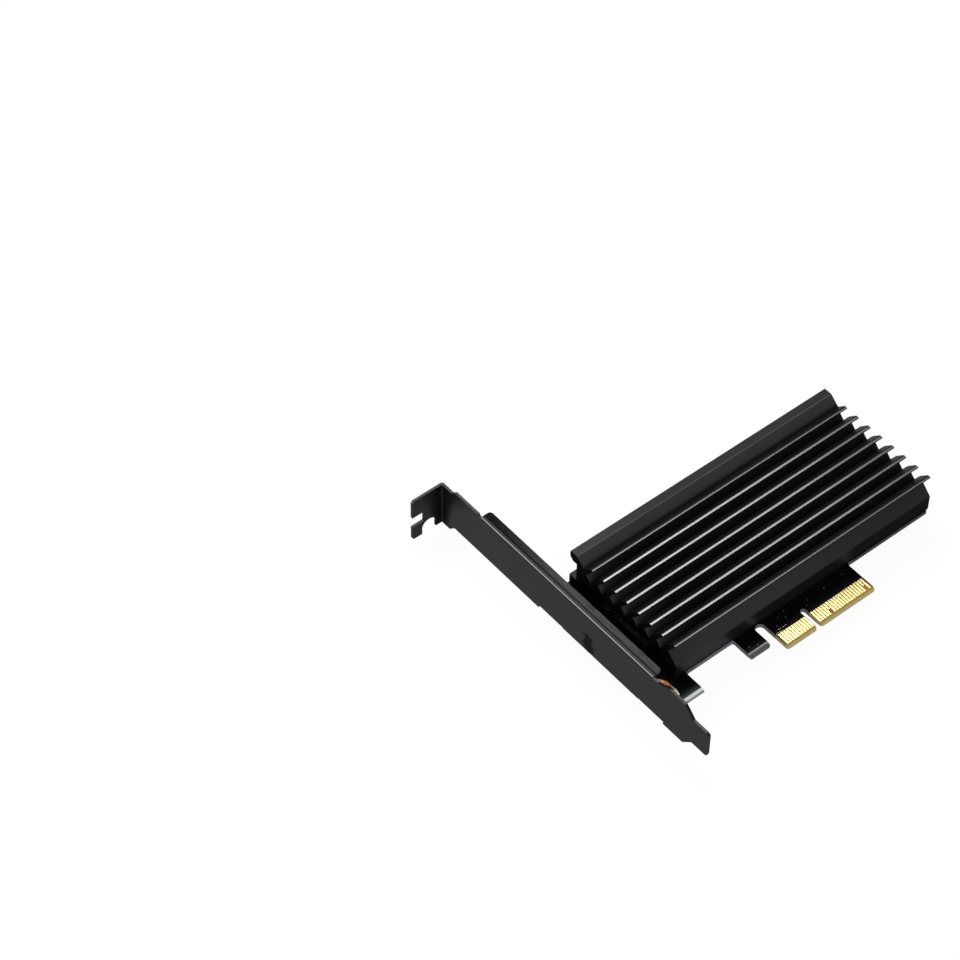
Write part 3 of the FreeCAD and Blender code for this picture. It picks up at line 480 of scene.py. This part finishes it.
def board_laminate():
    """Glossy black mask, bare glass-fibre edges, bronze round the contacts; painted highlights on
    the bevels and along the bay's edge, painted shade on the far edges and the tab's bevel.
    """
    finish = Finish("black_board")
    x, y, z = finish.axis("x"), finish.axis("y"), finish.axis("z")
    flatness = finish.math("ABSOLUTE", finish.facing("z"))
    speckle = finish.noise(4.0, roughness=0.6)
    weave = finish.noise(3.0, (0.4, 0.4, 6.0), roughness=0.6)

    edge = finish.below(flatness, 0.5, soft=0.2)
    bevel = finish.all_of(finish.above(flatness, 0.6, soft=0.1),
                          finish.below(flatness, 0.985, soft=0.01))
    fingers = contact_zone(finish, x, y, margin=0.45)
    near_contacts = contact_zone(finish, x, y, margin=1.6)
    # Painted highlight: a light strip on the face along the bay's edge.
    rub_streaks_and_edge_highlight = finish.all_of(
        finish.between(x, *BAY, soft=0.1),
        finish.between(y, BAY_EDGE - 0.2, BAY_EDGE + 0.3, soft=0.05),
        finish.above(finish.facing("z"), 0.95, soft=0.04),
    )

    mask = finish.mottled(speckle, grey(0.0015, 0.002), grey(0.0030, 0.0035))
    gap = finish.mottled(speckle, (0.12, 0.08, 0.022), (0.17, 0.115, 0.035))
    brown = finish.mottled(speckle, (0.24, 0.10, 0.03), (0.34, 0.17, 0.05))
    bare_zone = finish.mottled(speckle, (0.34, 0.24, 0.05), (0.46, 0.33, 0.08))
    near_fingers = finish.layered(
        gap,
        (finish.below(y, FINGERS_LOW.y + 1.7, soft=0.3), brown),
        (finish.below(y, FINGERS_LOW.y + 0.05, soft=0.15), bare_zone),
    )
    face = finish.mix(fingers, mask, near_fingers)

    tan = finish.mottled(weave, (0.25, 0.20, 0.10), (0.40, 0.33, 0.19))
    olive = finish.mottled(weave, (0.19, 0.125, 0.018), (0.34, 0.24, 0.055))
    tan = finish.mix(finish.above(z, -0.22, soft=0.16), tan, olive)
    side = finish.mottled(weave, grey(0.07, 0.075), grey(0.14, 0.15))
    # Painted shade on the board's edges past the connector.
    side = finish.mix(finish.above(x, CONNECTOR_END + 2.0, soft=3.0), side, grey(0.022, 0.023))
    # The foot's bevel: cut glass-fibre grey with painted highlight over it, brightest in a band
    # across it.
    foot_highlight_band = finish.between(z, -0.34, -0.06, soft=0.1)
    pale = finish.mottled(weave, grey(0.58, 0.63), grey(0.90, 0.97))
    foot_bevel = finish.mix(foot_highlight_band, grey(0.28, 0.30), pale)
    # Painted highlight on the tab bevel's crest, and the tab's bevel darker than the foot's as
    # painted shade.
    tab_crest_highlight = finish.between(z, -0.14, -0.02, soft=0.06)
    tab_bevel = finish.mottled(weave, grey(0.06, 0.067), grey(0.10, 0.11))
    tab_bevel = finish.mix(tab_crest_highlight, tab_bevel, grey(0.30, 0.34))
    past_foot = finish.above(x, BOARD_LOW.x + 20.0, soft=1.0)
    bevel_light_and_shade = finish.mix(past_foot, foot_bevel, tab_bevel)
    sides = finish.mix(near_contacts, side, tan)
    slopes = finish.mix(near_contacts, bevel_light_and_shade, tan)

    finish.set("Base Color", finish.layered(
        face,
        (bevel, slopes),
        (edge, sides),
        (rub_streaks_and_edge_highlight, grey(0.09, 0.095)),
    ))
    bare = finish.any_of(edge, bevel, fingers)
    finish.set("Roughness", finish.blend(bare, finish.level(speckle, 0.13, 0.19), 0.5))
    finish.set("Specular IOR Level", 0.08)
    finish.relief(speckle, depth=0.0006, round_edge=0.05)
    return finish


# ---------------------------------------------------------------- small finishes

def gold_plating():
    """Pale polished gold, a little mottled, with rub streaks along each contact."""
    finish = Finish("gold_plating", Metallic=1.0)
    mottle = finish.noise(2.5, (1.0, 0.5, 1.0), roughness=0.6)
    rub_streaks_and_edge_highlight = finish.noise(12.0, (1.0, 0.08, 1.0), detail=2.0)
    finish.set("Base Color", finish.mottled(mottle, (0.84, 0.66, 0.26), (0.94, 0.80, 0.42)))
    finish.set("Roughness", finish.level(rub_streaks_and_edge_highlight, 0.22, 0.30))
    finish.relief(mottle, depth=0.002)
    return finish


def copper_pad_with_painted_light():
    """Bare copper pad: warm and dimpled, painted dark as shade at its low end and on the upper
    pads, with a painted highlight on the rim at its low end.
    """
    finish = Finish("bare_copper", Metallic=1.0)
    x, y = finish.axis("x"), finish.axis("y")
    pools = finish.noise(0.9, roughness=0.6)
    dimples = finish.noise(3.5, detail=2.0)
    radius = (PADS_HIGH.x - PADS_LOW.x) / 2
    rim_width = 0.7
    upper_reach = 30.0
    across = finish.math("SUBTRACT", x, PADS_LOW.x + radius)
    along = finish.math("SUBTRACT", y, PADS_LOW.y + radius)
    along = finish.math("MINIMUM", along, 0.0)
    reach = finish.math("SQRT", finish.math("ADD", finish.math("MULTIPLY", across, across),
                                            finish.math("MULTIPLY", along, along)))
    rim = finish.above(reach, radius - rim_width, soft=0.25)
    low_end = finish.below(y, PADS_LOW.y + radius + 0.6, soft=2.2)
    upper_pads = finish.above(y, PADS_HIGH.y - upper_reach, soft=20.0)
    finish.set("Base Color", finish.layered(
        finish.mottled(pools, (0.30, 0.10, 0.03), (0.80, 0.42, 0.18)),
        # Painted shade: the low end and the upper pads are darker.
        (low_end, (0.045, 0.018, 0.008)),
        (upper_pads, (0.010, 0.005, 0.003)),
        # Painted highlight on the rim at the pad's low end.
        (finish.all_of(rim, low_end), (1.0, 0.93, 0.62)),
    ))
    finish.set("Roughness", finish.level(pools, 0.26, 0.42))
    finish.relief(dimples, depth=0.02)
    return finish


def grained(name, noise, colours, roughness, depth, round_edge=0.0, **sockets):
    """A finish whose colour, roughness and relief all follow one noise."""
    finish = Finish(name, **sockets)
    grain = finish.noise(**noise)
    finish.set("Base Color", finish.mottled(grain, *colours))
    finish.set("Roughness", finish.level(grain, *roughness))
    finish.relief(grain, depth, round_edge)
    return finish


def black_oxide():
    """Oiled black steel of the screws."""
    finish = Finish("black_oxide_steel", Metallic=0.6)
    turning = finish.noise(6.0, (1.0, 1.0, 0.2))
    clouds = finish.noise(1.2)
    finish.set("Base Color", finish.mottled(clouds, grey(0.016, 0.017), (0.035, 0.034, 0.033)))
    finish.set("Roughness", finish.level(turning, 0.28, 0.42))
    finish.relief(turning, depth=0.008, round_edge=0.08)
    return finish


def bright_steel():
    """Nickel-plated steel with fine turning marks."""
    return grained("nickel_plated_steel", {"scale": 8.0, "stretch": (0.3, 0.3, 3.0), "detail": 2.0},
                   ((0.55, 0.54, 0.52), (0.70, 0.69, 0.66)), (0.22, 0.36),
                   depth=0.006, round_edge=0.06, Metallic=1.0)


def dull_tin():
    """Matt tin on the socket's contacts, its grey kept dark as painted shade."""
    return grained("matt_tin", {"scale": 5.0}, (grey(0.20, 0.19), (0.32, 0.31, 0.29)),
                   (0.45, 0.6), depth=0.004, round_edge=0.03, Metallic=1.0)


def silicone_pad():
    """Soft grey-blue thermal pad, speckled with filler."""
    return grained("thermal_silicone", {"scale": 5.0, "detail": 2.0, "roughness": 0.7},
                   ((0.30, 0.36, 0.46), (0.42, 0.48, 0.58)), (0.65, 0.85),
                   depth=0.03, round_edge=0.1)


def clear_lens():
    """Milky lens of a light."""
    return grained("led_lens", {"scale": 3.0}, (grey(0.72, 0.62), (0.86, 0.85, 0.76)),
                   (0.18, 0.3), depth=0.01, round_edge=0.05, Transmission_Weight=0.35)


def moulded(name, dark, light):
    """Moulded plastic or ceramic with fine grain."""
    return grained(name, {"scale": 7.0}, (dark, light), (0.42, 0.58),
                   depth=0.012, round_edge=0.05)


def chip(name, node, dark, light, length, spacing):
    """A chip part: coloured body between tinned ends, repeated along its row."""
    finish = moulded(name, dark, light)
    low = limits(node)[0]
    along = finish.math("SUBTRACT", finish.axis("x"), low.x)
    phase = finish.math("MODULO", along, spacing)
    body = finish.between(phase, CHIP_TERMINAL, length - CHIP_TERMINAL, soft=0.05)
    tinned = finish.math("SUBTRACT", 1.0, body)
    solder = grey(0.62, 0.60)
    colour = finish.shader.inputs["Base Color"].links[0].from_socket
    finish.set("Base Color", finish.mix(tinned, colour, solder))
    finish.set("Metallic", tinned)
    return finish


def dress_cad():
    """Every CAD node gets its finish; the gold is returned for the plating stubs."""
    wear(["heatsink"], anodised_aluminium())
    wear(["bracket"], satin_black_sheet())
    wear(["circuit_board"], board_laminate())
    gold = gold_plating()
    wear(["edge_contacts_component_side", "edge_contacts_solder_side"], gold)
    wear(["m2_socket_upper_contacts", "m2_socket_lower_contacts"], dull_tin())
    wear(["bracket_ground_pads", "solder_side_ground_pads", "length_position_pads"],
         copper_pad_with_painted_light())
    wear(["bracket_screws", "heatsink_screws"], black_oxide())
    wear(["m2_standoff", "m2_socket_hold_downs"], bright_steel())
    wear(["thermal_pad"], silicone_pad())
    wear(["m2_socket_housing", "led_transistor"],
         moulded("black_moulding", grey(0.010), grey(0.020)))
    for name, node, dark, light, length, spacing in CHIPS:
        wear([node], chip(name, node, dark, light, length, spacing))
    wear(["power_led", "activity_led"], clear_lens())
    return gold


# ---------------------------------------------------------------- modelled pieces

def new_piece(name, mesh, finish):
    """Hand a finished bmesh in millimetres to the scene as a piece that rides on the card."""
    bmesh.ops.scale(mesh, vec=(MM, MM, MM), verts=mesh.verts)
    data = bpy.data.meshes.new(name)
    mesh.to_mesh(data)
    mesh.free()
    data.materials.append(finish.material)
    piece = bpy.data.objects.new(name, data)
    bpy.context.collection.objects.link(piece)
    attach(piece, ROOT)


def via(mesh, x, y, sides=20):
    """A flat tinned ring standing a little above the board."""
    loops = []
    profile = ((VIA_INNER, 0.0), (VIA_INNER, VIA_HEIGHT), (VIA_OUTER, VIA_HEIGHT),
               (VIA_OUTER, 0.0))
    for radius, lift in profile:
        loops.append([mesh.verts.new((x + radius * math.cos(2 * math.pi * i / sides),
                                      y + radius * math.sin(2 * math.pi * i / sides),
                                      BOARD_HIGH.z + lift)) for i in range(sides)])
    for first, second in zip(loops, loops[1:]):
        for i in range(sides):
            j = (i + 1) % sides
            mesh.faces.new((first[i], first[j], second[j], second[i]))


def stub(mesh, start, end, y, width, height=0.02):
    """A flat raised track on the board, along X."""
    half = width / 2
    crown = 0.8
    z = BOARD_HIGH.z
    section = ((half, 0.0), (half * crown, height), (-half * crown, height), (-half, 0.0))
    rows = [[mesh.verts.new((x, y + offset, z + lift)) for offset, lift in section]
            for x in (start, end)]
    for i in range(len(section) - 1):
        mesh.faces.new((rows[0][i], rows[0][i + 1], rows[1][i + 1], rows[1][i]))


def board_vias():
    """Small tinned vias by the contacts and on the tab."""
    rng = random.Random(7)
    mesh = bmesh.new()
    low = FINGERS_HIGH.y + 1.2
    for fraction, rise in VIAS:
        x = FINGERS_LOW.x + fraction * (FINGERS_HIGH.x - FINGERS_LOW.x)
        via(mesh, x, low + rise + rng.uniform(-0.2, 0.2))
    for inset, y in TAB_VIAS:
        via(mesh, BOARD_LOW.x + inset, y)
    finish = moulded("tinned_vias", (0.16, 0.15, 0.13), (0.30, 0.28, 0.24))
    finish.set("Metallic", 0.7)
    new_piece("board_vias", mesh, finish)


def lead_in_strips(gold):
    """Thin plating stubs that join the contacts' tops along the mask's edge."""
    mesh = bmesh.new()
    x = FINGERS_LOW.x
    y = FINGERS_HIGH.y + 0.35
    stub(mesh, x - 0.2, x + 2.4, y, width=0.08)
    stub(mesh, x + 0.8, x + 4.6, y + 0.9, width=0.06)
    new_piece("plating_stubs", mesh, gold)


# ---------------------------------------------------------------- light and camera

def add_node(tree, kind, *sources):
    """Add a node to a tree and link its first inputs to the given outputs."""
    node = tree.nodes.new(kind)
    for socket, source in zip(node.inputs, sources):
        tree.links.new(source, socket)
    return node


def studio_white():
    """White wherever it is looked at, and matt for the shadow and the light it sends back."""
    material = bpy.data.materials.new("studio_white")
    material.use_nodes = True
    tree = material.node_tree
    tree.nodes.clear()
    paths = tree.nodes.new("ShaderNodeLightPath")
    seen = paths.outputs["Is Camera Ray"]
    for ray in ("Is Glossy Ray", "Is Transmission Ray"):
        larger = add_node(tree, "ShaderNodeMath", seen, paths.outputs[ray])
        larger.operation = "MAXIMUM"
        seen = larger.outputs[0]
    share = add_node(tree, "ShaderNodeMath", seen)
    share.operation = "MULTIPLY"
    share.inputs[1].default_value = FLOOR_WHITE_SHARE
    white = tree.nodes.new("ShaderNodeEmission")
    white.inputs["Color"].default_value = grey(1.0) + (1.0,)
    matt = tree.nodes.new("ShaderNodeBsdfDiffuse")
    matt.inputs["Color"].default_value = grey(FLOOR_TONE) + (1.0,)
    both = add_node(tree, "ShaderNodeMixShader", share.outputs[0], matt.outputs[0],
                    white.outputs[0])
    add_node(tree, "ShaderNodeOutputMaterial", both.outputs[0])
    return material


def studio_floor():
    """A plain white floor that keeps a faint shadow."""
    mesh = bmesh.new()
    bmesh.ops.create_grid(mesh, x_segments=1, y_segments=1, size=FLOOR_HALF_WIDTH)
    data = bpy.data.meshes.new("studio_floor")
    mesh.to_mesh(data)
    mesh.free()
    floor = bpy.data.objects.new("studio_floor", data)
    floor.location.z = cad_box[0][2] - FLOOR_GAP
    bpy.context.collection.objects.link(floor)
    data.materials.append(studio_white())


def softbox(name, place, target, width, height, power):
    """A rectangular studio lamp aimed at a point."""
    lamp = bpy.data.lights.new(name, "AREA")
    lamp.shape = "RECTANGLE"
    lamp.size = width
    lamp.size_y = height
    lamp.energy = power
    holder = bpy.data.objects.new(name, lamp)
    holder.location = place
    holder.rotation_euler = (target - place).to_track_quat("-Z", "Y").to_euler()
    bpy.context.collection.objects.link(holder)


def studio_light():
    """Even pale surroundings, a key lamp over the fins and a weak lamp by the camera."""
    world = bpy.data.worlds.new("studio")
    world.use_nodes = True
    background = world.node_tree.nodes["Background"]
    background.inputs["Color"].default_value = grey(1.0) + (1.0,)
    background.inputs["Strength"].default_value = SURROUNDING_LIGHT
    bpy.context.scene.world = world
    middle = (Vector(cad_box[0]) + Vector(cad_box[1])) / 2
    for name, offset, width, height, power in LAMPS:
        softbox(name, middle + Vector(offset), middle, width, height, power)


def studio_camera():
    """A long lens above the bracket's outer face, looking down over the fins."""
    data = bpy.data.cameras.new("camera")
    data.sensor_fit = "HORIZONTAL"
    data.angle = math.radians(CAMERA_FIELD)
    data.shift_x, data.shift_y = CAMERA_SHIFT
    data.clip_end = CAMERA_REACH
    camera = bpy.data.objects.new("camera", data)
    camera.location = to_metres(CAMERA_PLACE)
    camera.rotation_euler = [math.radians(angle) for angle in CAMERA_TURN]
    bpy.context.collection.objects.link(camera)
    bpy.context.scene.camera = camera


plating = dress_cad()
board_vias()
lead_in_strips(plating)
studio_floor()
studio_light()
studio_camera()
bpy.context.scene.view_settings.view_transform = "Standard"
